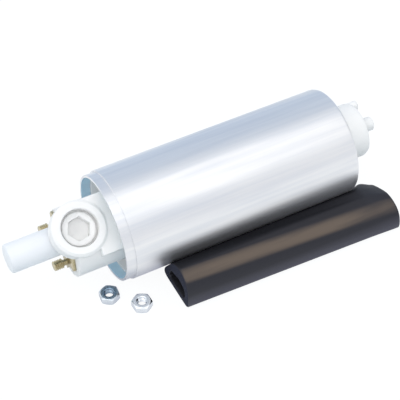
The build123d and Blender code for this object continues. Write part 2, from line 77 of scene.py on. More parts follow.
def newTree(name, kind, inputs, outputs):
    tree = bpy.data.node_groups.new(name, kind)
    for label, socketKind, value in inputs:
        socket = tree.interface.new_socket(label, in_out="INPUT", socket_type=socketKind)
        if value is not None:
            socket.default_value = value
    for label, socketKind in outputs:
        tree.interface.new_socket(label, in_out="OUTPUT", socket_type=socketKind)
    return tree, tree.nodes.new("NodeGroupInput"), tree.nodes.new("NodeGroupOutput")


def doMath(tree, operation, *values):
    return addNode(tree, "ShaderNodeMath", dict(enumerate(values)), operation=operation).outputs[0]


def product(tree, a, b):
    return doMath(tree, "MULTIPLY", a, b)


def inverted(tree, value):
    return doMath(tree, "SUBTRACT", 1.0, value)


def dotProduct(tree, a, b):
    return addNode(tree, "ShaderNodeVectorMath", {0: a, 1: b}, operation="DOT_PRODUCT").outputs["Value"]


def mapRange(tree, value, start, end, low=0.0, high=1.0, **settings):
    given = {"Value": value, "From Min": start, "From Max": end, "To Min": low, "To Max": high}
    return addNode(tree, "ShaderNodeMapRange", given, **settings).outputs[0]


def mixColours(tree, share, a, b):
    return addNode(tree, "ShaderNodeMix", {0: share, 6: a, 7: b}, data_type="RGBA").outputs[2]


def mixValues(tree, share, a, b):
    return addNode(tree, "ShaderNodeMix", {0: share, 2: a, 3: b}, data_type="FLOAT").outputs[0]


def paintOver(tree, mask, base, colour):
    return mixColours(tree, mask, base, (*colour, 1.0))


# shader groups shared by the finishes
def makeGrainGroup():
    tree, given, result = newTree(
        "surfaceGrain", "ShaderNodeTree",
        [
            ("Scale", "NodeSocketFloat", 400.0),
            ("Stretch", "NodeSocketVector", (1.0, 1.0, 1.0)),
            ("Detail", "NodeSocketFloat", 3.0),
            ("Low", "NodeSocketFloat", 0.3),
            ("High", "NodeSocketFloat", 0.7),
        ],
        [("Grain", "NodeSocketFloat")],
    )
    given = given.outputs
    place = addNode(tree, "ShaderNodeTexCoord").outputs["Object"]
    place = addNode(tree, "ShaderNodeMapping", {"Vector": place, "Scale": given["Stretch"]}).outputs[0]
    noise = addNode(
        tree, "ShaderNodeTexNoise", {0: place, "Scale": given["Scale"], "Detail": given["Detail"]}
    )
    grain = mapRange(tree, noise.outputs[0], given["Low"], given["High"])
    tree.links.new(grain, result.inputs["Grain"])
    return tree


# edge wear, and on the pale plastics painted edge shade, starts and is full where the normal has turned
# this far: 0 for none, 1 for a right angle
softEdge = dict(radius=0.0002, samples=4, start=0.015, full=0.22)


def makeEdgeGroup():
    tree, given, result = newTree(
        "softEdges", "ShaderNodeTree",
        [("Radius", "NodeSocketFloat", softEdge["radius"])],
        [("Edge", "NodeSocketFloat"), ("Normal", "NodeSocketVector")],
    )
    radius = given.outputs["Radius"]
    soft = addNode(tree, "ShaderNodeBevel", {"Radius": radius}, samples=softEdge["samples"])
    flat = addNode(tree, "ShaderNodeNewGeometry").outputs["True Normal"]
    turn = inverted(tree, dotProduct(tree, soft.outputs[0], flat))
    tree.links.new(mapRange(tree, turn, softEdge["start"], softEdge["full"]), result.inputs["Edge"])
    tree.links.new(soft.outputs[0], result.inputs["Normal"])
    return tree


# how far a face turns towards a direction fixed to the piece
def makeFacingGroup():
    tree, given, result = newTree(
        "facingMask", "ShaderNodeTree",
        [
            ("Toward", "NodeSocketVector", (0.0, 0.0, 1.0)),
            ("Low", "NodeSocketFloat", 0.5),
            ("High", "NodeSocketFloat", 1.0),
        ],
        [("Mask", "NodeSocketFloat")],
    )
    given = given.outputs
    turn = dotProduct(tree, addNode(tree, "ShaderNodeTexCoord").outputs["Normal"], given["Toward"])
    mask = mapRange(tree, turn, given["Low"], given["High"], interpolation_type="SMOOTHSTEP")
    tree.links.new(mask, result.inputs["Mask"])
    return tree


insideDepth = 10 * mm  # a wall that faces the pump's axis from this far off is fully an inner one


# 1 on the walls that face the pump's axis, 0 on those that face outwards; the casing's painted bluish
# reflection goes where it is 1
def makeInsideGroup():
    tree, _, result = newTree("insideMask", "ShaderNodeTree", [], [("Mask", "NodeSocketFloat")])
    place = addNode(tree, "ShaderNodeTexCoord")
    _, across, height = addNode(tree, "ShaderNodeSeparateXYZ", {0: place.outputs["Object"]}).outputs
    spoke = addNode(tree, "ShaderNodeCombineXYZ", {1: across, 2: height}).outputs[0]
    mask = mapRange(tree, dotProduct(tree, place.outputs["Normal"], spoke), 0.0, -insideDepth)
    tree.links.new(mask, result.inputs["Mask"])
    return tree


grainGroup = makeGrainGroup()
edgeGroup = makeEdgeGroup()
facingGroup = makeFacingGroup()
insideGroup = makeInsideGroup()


def useGroup(tree, group, **values):
    made = tree.nodes.new("ShaderNodeGroup")
    made.node_tree = group
    for key, value in values.items():
        made.inputs[key.capitalize()].default_value = value
    return made


# grain and blotch are noise from 0 to 1 that blends colour into second and the two values of rough;
# sockets holds what is the same all over
finishes = {
    "plated_steel": dict(
        colour=(0.865, 0.865, 0.872), second=(0.695, 0.72, 0.77), metallic=0.93, rough=(0.32, 0.45),
        grain=dict(scale=520.0, stretch=(0.035, 1.0, 1.0), detail=4.0, low=0.32, high=0.68),
        blotch=dict(scale=95.0, stretch=(0.16, 1.0, 1.0), low=0.42, high=0.72),
        # the colour for the walls that face the pump's axis is a painted bluish reflection
        bump=0.0000035, edge=(0.86, 0.87, 0.89), edgeShare=0.4, radius=0.00025, inside=(0.64, 0.86, 1.0),
    ),
    "white_plastic": dict(
        colour=(0.88, 0.878, 0.865), second=(0.855, 0.86, 0.858), metallic=0.0, rough=(0.42, 0.55),
        grain=dict(scale=2600.0),
        blotch=dict(scale=70.0, detail=2.0, low=0.35),
        # the edge colour here is painted shade on edges and in creases
        bump=0.000006, edge=(0.84, 0.85, 0.84), edgeShare=0.5, radius=0.0004,
        sockets={
            "Subsurface Weight": 0.45, "Subsurface Radius": (0.003, 0.003, 0.003), "Subsurface Scale": 1.0,
        },
    ),
    "cap_plastic": dict(
        colour=(0.82, 0.845, 0.875), second=(0.80, 0.83, 0.865), metallic=0.0, rough=(0.3, 0.42),
        grain=dict(scale=1500.0, stretch=(0.15, 1.0, 1.0), detail=2.0),
        blotch=dict(scale=45.0, detail=2.0),
        # the edge colour here is painted shade on edges and in creases
        bump=0.000004, edge=(0.74, 0.75, 0.82), edgeShare=0.6, radius=0.0005,
        sockets={
            "Subsurface Weight": 0.15, "Subsurface Radius": (0.001, 0.001, 0.001), "Subsurface Scale": 1.0,
        },
    ),
    "brass": dict(
        colour=(0.66, 0.60, 0.42), second=(0.36, 0.30, 0.17), metallic=1.0, rough=(0.2, 0.4),
        grain=dict(scale=1400.0, detail=4.0),
        blotch=dict(scale=420.0, low=0.35, high=0.65),
        bump=0.000005, edge=(0.86, 0.80, 0.58), edgeShare=0.8, radius=0.00014,
    ),
    "zinc_plate": dict(
        colour=(0.90, 0.925, 0.95), second=(0.78, 0.83, 0.88), metallic=1.0, rough=(0.14, 0.28),
        grain=dict(scale=1500.0),
        blotch=dict(scale=330.0, low=0.35, high=0.65),
        # the blue-grey colour at the end of this line is painted shade, laid on where the nuts' mesh
        # attribute asks for it
        bump=0.000004, edge=(0.93, 0.95, 0.96), edgeShare=0.5, radius=0.00015, recess=(0.17, 0.26, 0.36),
    ),
    "black_rubber": dict(
        colour=(0.015, 0.0145, 0.017), second=(0.021, 0.020, 0.023), metallic=0.0, rough=(0.42, 0.56),
        grain=dict(scale=1900.0, stretch=(0.5, 1.0, 1.0), detail=4.0),
        blotch=dict(scale=150.0, stretch=(0.12, 1.0, 1.0), low=0.35),
        bump=0.000012, edge=(0.045, 0.044, 0.052), edgeShare=0.6, radius=0.0004,
        # the bluish Specular Tint is a painted bluish cast on the rubber's reflections
        sockets={"IOR": 1.42, "Specular Tint": (0.78, 0.82, 1.0, 1.0)},
        paintedSheen=dict(  # painted highlight: a pale brown sheen along the crown
            colour=(0.118, 0.089, 0.064), facing=dict(toward=(0.0, -0.46, 0.888), low=0.87, high=1.0),
            peak=2.4, height=(-0.0145, -0.011),
        ),
        foot=dict(  # painted light: the front is lighter and bluish just above the ground
            colour=(0.082, 0.079, 0.104), height=(-0.0135, -0.0212), front=(-0.029, -0.0315),
        ),
        paintedBackShade=dict(  # painted shade on the side that faces the casing, which is also rougher
            colour=(0.004, 0.004, 0.005), facing=dict(toward=(0.0, 0.8, 0.6), low=0.42, high=0.95),
            rough=1.0, end=(0.097, 0.094),
        ),
        cut=dict(  # painted bluish shade on the two cut ends, which are also rougher
            colour=(0.018, 0.020, 0.034), facing=dict(low=0.7, high=0.9), rough=0.9,
        ),
    ),
    "seal_rubber": dict(
        colour=(0.026, 0.026, 0.027), second=(0.04, 0.04, 0.042), metallic=0.0, rough=(0.5, 0.65),
        grain=dict(scale=1800.0),
        blotch=dict(scale=200.0, detail=2.0, low=0.35),
        bump=0.00001, edge=(0.07, 0.07, 0.07), edgeShare=0.5, radius=0.0002,
    ),
    "spring_steel": dict(
        colour=(0.50, 0.51, 0.54), second=(0.36, 0.37, 0.41), metallic=1.0, rough=(0.2, 0.36),
        grain=dict(scale=2400.0),
        blotch=dict(scale=500.0, low=0.35, high=0.65),
        bump=0.000003, edge=(0.7, 0.7, 0.72), edgeShare=0.4, radius=0.0001,
    ),
    "machined_steel": dict(
        colour=(0.58, 0.59, 0.61), second=(0.45, 0.46, 0.49), metallic=1.0, rough=(0.16, 0.3),
        grain=dict(scale=1500.0, stretch=(2.0, 0.4, 0.4)),
        blotch=dict(scale=160.0, low=0.35, high=0.65),
        bump=0.000003, edge=(0.78, 0.78, 0.8), edgeShare=0.5, radius=0.00015,
    ),
    "lamination_steel": dict(
        colour=(0.24, 0.24, 0.26), second=(0.15, 0.15, 0.17), metallic=0.9, rough=(0.34, 0.55),
        grain=dict(scale=2000.0, stretch=(1.0, 0.02, 0.02), detail=1.0, low=0.4, high=0.6),
        blotch=dict(scale=160.0, low=0.35, high=0.65),
        bump=0.00003, edge=(0.4, 0.4, 0.42), edgeShare=0.4, radius=0.00015,
    ),
    "copper": dict(
        colour=(0.62, 0.28, 0.13), second=(0.44, 0.17, 0.07), metallic=1.0, rough=(0.22, 0.4),
        grain=dict(scale=2300.0, stretch=(0.08, 1.0, 1.0), detail=2.0, low=0.35, high=0.65),
        blotch=dict(scale=260.0, low=0.35, high=0.65),
        bump=0.00002, edge=(0.78, 0.44, 0.26), edgeShare=0.5, radius=0.00015,
    ),
    "carbon": dict(
        colour=(0.05, 0.05, 0.052), second=(0.09, 0.085, 0.08), metallic=0.1, rough=(0.35, 0.6),
        grain=dict(scale=2600.0, detail=4.0),
        blotch=dict(scale=400.0, low=0.35, high=0.65),
        bump=0.00001, edge=(0.14, 0.14, 0.14), edgeShare=0.5, radius=0.0002,
    ),
    "ferrite": dict(
        colour=(0.085, 0.085, 0.092), second=(0.13, 0.13, 0.135), metallic=0.1, rough=(0.4, 0.62),
        grain=dict(scale=1800.0, detail=4.0),
        blotch=dict(scale=220.0, low=0.35, high=0.65),
        bump=0.000012, edge=(0.22, 0.22, 0.23), edgeShare=0.5, radius=0.0002,
    ),
    "bronze": dict(
        colour=(0.50, 0.33, 0.15), second=(0.36, 0.23, 0.10), metallic=1.0, rough=(0.3, 0.5),
        grain=dict(scale=3200.0, detail=4.0, low=0.35, high=0.65),
        blotch=dict(scale=300.0, low=0.35, high=0.65),
        bump=0.00001, edge=(0.7, 0.52, 0.3), edgeShare=0.4, radius=0.0002,
    ),
    "cast_aluminium": dict(
        colour=(0.66, 0.67, 0.68), second=(0.52, 0.53, 0.55), metallic=1.0, rough=(0.26, 0.46),
        grain=dict(scale=1300.0, detail=4.0),
        blotch=dict(scale=170.0, low=0.35, high=0.65),
        bump=0.000008, edge=(0.8, 0.8, 0.82), edgeShare=0.5, radius=0.0002,
    ),
    "black_plastic": dict(
        colour=(0.045, 0.045, 0.048), second=(0.07, 0.068, 0.066), metallic=0.0, rough=(0.38, 0.56),
        grain=dict(scale=2000.0),
        blotch=dict(scale=180.0, detail=2.0, low=0.35),
        bump=0.000008, edge=(0.12, 0.12, 0.12), edgeShare=0.5, radius=0.0002,
    ),
}


# painted light and shade on the pressed sleeve's rubber: a painted highlight on the crown, painted light
# low on the front, painted shade on the side that faces the casing and on the cut ends
def paintSleeveLightAndShade(tree, look, blotch, tinted, roughness, edgeWearAndShade):
    paintedSheen, foot, paintedBackShade, cut = (look[key] for key in ("paintedSheen", "foot", "paintedBackShade", "cut"))
    place = addNode(tree, "ShaderNodeTexCoord").outputs["Object"]
    along, across, height = addNode(tree, "ShaderNodeSeparateXYZ", {0: place}).outputs

    def facing(**values):
        return useGroup(tree, facingGroup, **values).outputs["Mask"]

    # painted highlight along the crown
    crown = doMath(tree, "POWER", facing(**paintedSheen["facing"]), paintedSheen["peak"])
    crown = product(tree, crown, inverted(tree, blotch))
    crown = product(tree, crown, mapRange(tree, height, *paintedSheen["height"]))
    # painted light low on the front
    low = product(tree, mapRange(tree, height, *foot["height"]), mapRange(tree, across, *foot["front"]))
    # painted shade on the side that faces the casing
    hidden = product(tree, facing(**paintedBackShade["facing"]), mapRange(tree, along, *paintedBackShade["end"]))
    # painted bluish shade on the two cut ends
    left, right = (facing(toward=(way, 0.0, 0.0), **cut["facing"]) for way in (-1.0, 1.0))
    ends = doMath(tree, "ADD", left, right)
    for mask, mark in ((crown, paintedSheen), (low, foot), (hidden, paintedBackShade), (ends, cut)):
        tinted = paintOver(tree, mask, tinted, mark["colour"])
        if "rough" in mark:
            roughness = mixValues(tree, mask, roughness, mark["rough"])
    return tinted, roughness, product(tree, edgeWearAndShade, inverted(tree, ends))


def makeFinish(name, look):
    material = bpy.data.materials.new(name)
    material.use_nodes = True
    tree = material.node_tree
    shader = tree.nodes["Principled BSDF"]
    shader.inputs["Metallic"].default_value = look["metallic"]
    for label, value in look.get("sockets", {}).items():
        shader.inputs[label].default_value = value
    grain = useGroup(tree, grainGroup, **look["grain"]).outputs["Grain"]
    blotch = useGroup(tree, grainGroup, **look["blotch"]).outputs["Grain"]
    edges = useGroup(tree, edgeGroup, radius=look["radius"])
    share = product(tree, doMath(tree, "ADD", grain, blotch), 0.5)
    tinted = paintOver(tree, share, (*look["colour"], 1.0), look["second"])
    roughness = mapRange(tree, share, 0.0, 1.0, *look["rough"])
    edgeWearAndShade = product(tree, edges.outputs["Edge"], look["edgeShare"])
    # painted bluish reflection on the walls that face the pump's axis
    if "inside" in look:
        tinted = paintOver(tree, useGroup(tree, insideGroup).outputs["Mask"], tinted, look["inside"])
    # painted shade where the mesh's attribute asks for it
    if "recess" in look:
        mask = addNode(tree, "ShaderNodeAttribute", attribute_name="recess").outputs["Fac"]
        tinted = paintOver(tree, mask, tinted, look["recess"])
    # painted light and shade on the sleeve
    if "paintedSheen" in look:
        tinted, roughness, edgeWearAndShade = paintSleeveLightAndShade(tree, look, blotch, tinted, roughness, edgeWearAndShade)
    tree.links.new(paintOver(tree, edgeWearAndShade, tinted, look["edge"]), shader.inputs["Base Color"])
    tree.links.new(roughness, shader.inputs["Roughness"])
    bump = addNode(
        tree, "ShaderNodeBump",
        {"Height": grain, "Distance": look["bump"], "Strength": 1.0, "Normal": edges.outputs["Normal"]},
    )
    tree.links.new(bump.outputs[0], shader.inputs["Normal"])
    return material


materials = {slot: makeFinish(slot, look) for slot, look in finishes.items()}
print("finishes made:", len(materials))


weldDistance = 0.001 * mm


# joined corners, and smooth shading up to a sharp angle
def makeShadeTree():
    tree, given, result = newTree(
        "smoothShade", "GeometryNodeTree",
        [("Geometry", "NodeSocketGeometry", None), ("Sharp Angle", "NodeSocketFloat", radians(24))],
        [("Geometry", "NodeSocketGeometry")],
    )
    given = given.outputs
    joined = addNode(
        tree, "GeometryNodeMergeByDistance", {"Geometry": given["Geometry"], "Distance": weldDistance}
    )
    angle = addNode(tree, "GeometryNodeInputMeshEdgeAngle").outputs[0]
    flat = addNode(
        tree, "FunctionNodeCompare", {0: angle, 1: given["Sharp Angle"]},
        data_type="FLOAT", operation="LESS_THAN",
    )
    shaded = joined.outputs[0]
    for domain, smooth in (("EDGE", flat.outputs[0]), ("FACE", True)):
        given = {"Geometry": shaded, "Shade Smooth": smooth}
        shaded = addNode(tree, "GeometryNodeSetShadeSmooth", given, domain=domain).outputs[0]
    tree.links.new(shaded, result.inputs[0])
    return tree


def socketId(tree, label):
    items = tree.interface.items_tree
    return next(item.identifier for item in items if item.name == label and item.in_out == "INPUT")


def addTree(piece, tree, **values):
    modifier = piece.modifiers.new(tree.name, "NODES")
    for label, value in values.items():
        modifier[socketId(tree, label)] = value
    modifier.node_group = tree


shadeTree = makeShadeTree()
for name, node in nodes.items():
    while len(node.material_slots) > 1:
        node.data.materials.pop()
    if not node.material_slots:
        node.data.materials.append(None)
    node.material_slots[0].material = materials[slotOf[name]]
    addTree(node, shadeTree)
print("CAD nodes finished")


# meshes and pieces
def newPiece(name, mesh, slot, body, *replaced):
    for polygon in mesh.polygons:
        polygon.use_smooth = True
    piece = bpy.data.objects.new(name, mesh)
    bpy.context.scene.collection.objects.link(piece)
    if not mesh.materials:
        mesh.materials.append(materials[slot])
    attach(piece, body)
    if replaced:
        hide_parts(*replaced)
    return piece


# a skin over rings, which are rows x columns x 3
def ringMesh(name, rings, closed=False):
    rows, columns = rings.shape[:2]
    faces = []
    for i in range(rows if closed else rows - 1):
        k = (i + 1) % rows
        for j in range(columns):
            m = (j + 1) % columns
            faces.append((i * columns + j, i * columns + m, k * columns + m, k * columns + j))
    if not closed:
        faces.append(tuple(range(columns)))
        faces.append(tuple(range((rows - 1) * columns, rows * columns)))
    mesh = bpy.data.meshes.new(name)
    mesh.from_pydata(rings.reshape(-1, 3).tolist(), [], faces)
    work = bmesh.new()
    work.from_mesh(mesh)
    bmesh.ops.recalc_face_normals(work, faces=work.faces)
    work.to_mesh(mesh)
    work.free()
    mesh.update()
    return mesh


# rings of a turned shape about Z, from (radius, height) rows in millimetres
def turnedRings(rows, angles):
    return np.array([
        np.stack([r * np.cos(angles), r * np.sin(angles), z * np.ones_like(angles)], 1) for r, z in rows
    ]) * mm


def anglesRound(count):
    return np.arange(count) * 2 * pi / count


# what the tree makes of this mesh, as a plain mesh
def bakeTrees(name, mesh, tree, **values):
    holder = bpy.data.objects.new(name + "Draft", mesh)
    bpy.context.scene.collection.objects.link(holder)
    addTree(holder, tree, **values)
    bpy.context.view_layer.update()
    graph = bpy.context.evaluated_depsgraph_get()
    made = bpy.data.meshes.new_from_object(holder.evaluated_get(graph), depsgraph=graph)
    made.name = name
    bpy.data.objects.remove(holder)
    return made


# no instances left, and the finish on
def endTree(tree, geometry, given, result):
    real = addNode(tree, "GeometryNodeRealizeInstances", {"Geometry": geometry}).outputs[0]
    done = addNode(tree, "GeometryNodeSetMaterial", {"Geometry": real, "Material": given["Finish"]})
    tree.links.new(done.outputs[0], result.inputs[0])
    return tree


# a narrow crest and a narrow root: the groove runs between these shares of half a pitch
threadForm = dict(groove=(0.12, 0.82), leastRadius=0.01 * mm)


# cuts a thread about Z as deep as the mesh's thread attribute allows
def makeThreadTree():
    tree, given, result = newTree(
        "screwThread", "GeometryNodeTree",
        [
            ("Geometry", "NodeSocketGeometry", None),
            ("Pitch", "NodeSocketFloat", 0.7 * mm),
            ("Depth", "NodeSocketFloat", 0.4 * mm),
            ("Finish", "NodeSocketMaterial", None),
        ],
        [("Geometry", "NodeSocketGeometry")],
    )
    given = given.outputs

    def work(operation, *values):
        return doMath(tree, operation, *values)

    place = addNode(tree, "GeometryNodeInputPosition").outputs[0]
    x, y, z = addNode(tree, "ShaderNodeSeparateXYZ", {0: place}).outputs
    turn = work("DIVIDE", work("ARCTAN2", y, x), 2 * pi)
    phase = work("FRACT", work("SUBTRACT", work("DIVIDE", z, given["Pitch"]), turn))
    ramp = work("ABSOLUTE", work("MULTIPLY_ADD", phase, 2.0, -1.0))
    groove = mapRange(tree, ramp, *threadForm["groove"])
    share = addNode(tree, "GeometryNodeInputNamedAttribute", {"Name": "thread"}, data_type="FLOAT")
    depth = work("MULTIPLY", work("MULTIPLY", groove, given["Depth"]), share.outputs[0])
    radius = work("SQRT", work("ADD", work("MULTIPLY", x, x), work("MULTIPLY", y, y)))
    radius = work("MAXIMUM", radius, threadForm["leastRadius"])
    shrink = work("SUBTRACT", 1.0, work("DIVIDE", depth, radius))
    x, y = (work("MULTIPLY", side, shrink) for side in (x, y))
    moved = addNode(tree, "ShaderNodeCombineXYZ", {0: x, 1: y, 2: z}).outputs[0]
    cut = addNode(tree, "GeometryNodeSetPosition", {"Geometry": given["Geometry"], "Position": moved})
    return endTree(tree, cut.outputs[0], given, result)


# steps in a turn, sides of the wire, and the share of the CAD solid's radius that a coil fills
coilForm = dict(steps=20, sides=8, fit=0.985)


# a wire wound about Z, with Radius at the middle of the wire
def makeSpringTree():
    tree, given, result = newTree(
        "coilSpring", "GeometryNodeTree",
        [
            ("Geometry", "NodeSocketGeometry", None),
            ("Radius", "NodeSocketFloat", 2 * mm),
            ("Wire", "NodeSocketFloat", 0.3 * mm),
            ("Turns", "NodeSocketFloat", 8.0),
            ("Length", "NodeSocketFloat", 10 * mm),
            ("Finish", "NodeSocketMaterial", None),
        ],
        [("Geometry", "NodeSocketGeometry")],
    )
    given = given.outputs
    coil = addNode(
        tree, "GeometryNodeCurveSpiral",
        {
            "Resolution": coilForm["steps"], "Rotations": given["Turns"], "Height": given["Length"],
            "Start Radius": given["Radius"], "End Radius": given["Radius"],
        },
    )
    section = addNode(
        tree, "GeometryNodeCurvePrimitiveCircle", {"Resolution": coilForm["sides"], "Radius": given["Wire"]}
    )
    wire = addNode(
        tree, "GeometryNodeCurveToMesh", {0: coil.outputs[0], 1: section.outputs[0], "Fill Caps": True}
    )
    return endTree(tree, wire.outputs[0], given, result)


threadTree = makeThreadTree()
springTree = makeSpringTree()


def markPoints(mesh, label, shares):
    mark = mesh.attributes.new(label, "FLOAT", "POINT")
    mark.data.foreach_set("value", np.asarray(shares, np.float32).ravel())


# how deep the thread is on each row: over so many rows it runs out, past so many rows beyond the last
def threadShares(rows, over, past=0):
    step = np.arange(rows)
    return np.clip(np.minimum(step, rows - 1 + past - step) / over, 0, 1)[:, None]


# rubber sleeve, pressed flat beside the casing, in millimetres
sleeve = dict(
    # five corners (y, height) of the outer skin at each place along it:
    # back foot, back, crown, front, front foot
    sections={
        14.15: [(-11.6, 0.0), (-19.7, 12.1), (-23.6, 16.0), (-33.8, 16.0), (-33.8, 0.0)],
        95.0: [(-10.2, 0.0), (-19.9, 12.2), (-24.6, 12.6), (-36.4, 11.9), (-36.4, 0.0)],
        100.0: [(-11.0, 0.0), (-14.6, 9.2), (-24.5, 11.9), (-36.5, 11.5), (-36.5, 0.0)],
        105.75: [(-13.5, 0.0), (-18.0, 7.9), (-26.5, 11.3), (-36.8, 11.2), (-36.8, 0.0)],
    },
    nearBore=[(-17.6, 2.7), (-19.5, 7.8), (-26.6, 10.0), (-31.0, 8.2), (-30.4, 2.7)],
    nearBoreRounds=[1.0, 2.2, 4.0, 1.8, 2.0],
    rounds=[2.6, 3.0, 6.0, 7.6, 2.4], freeRounds=[2.4, 3.0, 6.0, 8.0, 2.0], leastRound=0.6,
    arcLimit=0.72, arcPull=0.86,  # how far an arc may reach along its runs, and how near its corner it is
    floorDepth=21.5, wall=2.6, lip=0.45, faceSkins=(0.4, 0.6),
    slant=2.6, slantSpan=(-24.0, -9.0),  # the far end is cut at a slant
    settle=0.2, wave=0.18, waveTurns=7.3, waveStart=0.6, sagHeight=12.0, sagFrom=-20.5, sagOver=4.0,
    cornerSteps=10, edgeSteps=9, lipSteps=4, stations=72, softenings=3, blendReach=2.0,
)


def towards(a, b):
    return (b - a) / np.linalg.norm(b - a)


# each corner with the one before it and the one after it
def cornerTrios(corners):
    return zip(np.roll(corners, 1, 0), corners, np.roll(corners, -1, 0))


def insetCorners(corners, amount):
    moved = []
    for a, b, c in cornerTrios(corners):
        u, w = towards(a, b), towards(b, c)
        nu, nw = np.array((-u[1], u[0])), np.array((-w[1], w[0]))
        moved.append(b + (nu + nw) / (1 + nu @ nw) * amount)
    return np.array(moved)


# points round the outline: an arc at each corner, and the same number of points on each run
def roundOutline(corners, rounds):
    arcs = []
    pull, limit = sleeve["arcPull"], sleeve["arcLimit"]
    for (a, b, c), size in zip(cornerTrios(corners), rounds):
        u, w = towards(b, a), towards(b, c)
        half = np.arccos(np.clip(u @ w, -1, 1)) / 2
        reach = min(size / tan(half), limit * np.linalg.norm(a - b), limit * np.linalg.norm(c - b))
        start, end = b + u * reach, b + w * reach
        control = b * pull + (start + end) * (1 - pull) / 2
        steps = np.linspace(0, 1, sleeve["cornerSteps"])[:, None]
        arcs.append((1 - steps) ** 2 * start + 2 * steps * (1 - steps) * control + steps**2 * end)
    points = []
    for arc, following in zip(arcs, arcs[1:] + arcs[:1]):
        points.extend(arc)
        for step in np.linspace(0, 1, sleeve["edgeSteps"] + 2)[1:-1]:
            points.append(arc[-1] * (1 - step) + following[0] * step)
    points = np.array(points)
    for _ in range(sleeve["softenings"]):
        points = points * 0.5 + 0.25 * (np.roll(points, 1, 0) + np.roll(points, -1, 0))
    return points


# sections x outer and inner x points x (y, height)
def sleeveSkins(places):
    wall = sleeve["wall"]
    skins = []
    for x in places:
        corners = np.array(sleeve["sections"][x])
        rounds = sleeve["rounds"] if x <= places[1] else sleeve["freeRounds"]
        innerRounds = [max(size - wall, sleeve["leastRound"]) for size in rounds]
        inner = roundOutline(insetCorners(corners, wall), innerRounds)
        skins.append([roundOutline(corners, rounds), inner])
    skins[0][1] = roundOutline(np.array(sleeve["nearBore"]), sleeve["nearBoreRounds"])
    return np.array(skins)


def makeSleeve():
    places = list(sleeve["sections"])
    skins = sleeveSkins(places)
    nearX, farX = places[0], places[-1]
    slantStart, slantEnd = sleeve["slantSpan"]

    # skin is 0 on the outer surface and 1 on the inner one
    def ring(x, skin):
        flat = 0
        for offset in (-1, 0, 1):
            at = np.clip(x + offset * sleeve["blendReach"], nearX, farX)
            k = min(np.searchsorted(places, at, side="right") - 1, len(places) - 2)
            share = (at - places[k]) / (places[k + 1] - places[k])
            both = skins[k] * (1 - share) + skins[k + 1] * share
            flat = flat + (both[0] * (1 - skin) + both[1] * skin) / 3
        y, height = flat[:, 0], flat[:, 1]
        along = (x - nearX) / (farX - nearX)
        wave = sleeve["wave"] * (1 + sin(along * sleeve["waveTurns"] + sleeve["waveStart"])) / 2
        loose = np.clip(height / sleeve["sagHeight"], 0, 1)
        loose = loose * np.clip((sleeve["sagFrom"] - y) / sleeve["sagOver"], 0, 1)
        slant = np.clip((y - slantStart) / (slantEnd - slantStart), 0, 1) * sleeve["slant"]
        x = x - slant * np.clip((x - places[1]) / (farX - places[1]), 0, 1)
        return np.stack([x, y, height - (sleeve["settle"] + wave) * loose - sleeve["floorDepth"]], 1)

    lip, depth = sleeve["lip"], sleeve["lip"] / sleeve["wall"]
    quarter = [(1 - sin(a), 1 - cos(a)) for a in np.linspace(0, pi / 2, sleeve["lipSteps"])]
    stations = np.linspace(nearX + lip, farX - lip, sleeve["stations"])[1:-1]
    rows = [(nearX + lip * back, depth * up) for back, up in reversed(quarter)]
    rows += [(x, 0.0) for x in stations]
    rows += [(farX - lip * back, depth * up) for back, up in quarter]
    rows += [(farX, skin) for skin in sleeve["faceSkins"]]
    rows += [(farX - lip * back, 1 - depth * up) for back, up in reversed(quarter)]
    rows += [(x, 1.0) for x in reversed(stations)]
    rows += [(nearX + lip * back, 1 - depth * up) for back, up in quarter]
    rows += [(nearX, skin) for skin in reversed(sleeve["faceSkins"])]
    rings = np.array([ring(x, skin) for x, skin in rows]) * mm
    mesh = ringMesh("rubberSleeve", rings, closed=True)
    return newPiece("rubber_sleeve_body", mesh, "black_rubber", "rubber_sleeve", "rubber_sleeve")


sleevePiece = makeSleeve()
print("sleeve made:", len(sleevePiece.data.polygons), "faces")


# the two loose nuts, in millimetres and degrees
nut = dict(
    flats=7.0, height=3.2, face=3.25, chamfer=30, corner=0.04, flank=0.06,
    bore=1.72, pitch=0.7, depth=0.36, mouth=2.15, sink=0.42, soften=0.03, runOut=4, columns=96, rows=34,
    shadeShares=(0.85, 1.0, 0.55),  # painted shade in the bore, its mouth and the ring round it, by these shares
    looks={
        # shade is painted shade in the bore and round it; tint is painted shade all over the nut
        "front_nut": dict(turn=32.5, shade=0.12, tint=0.0),
        "rear_nut": dict(turn=24.0, shade=0.8, tint=0.15),
    },
)


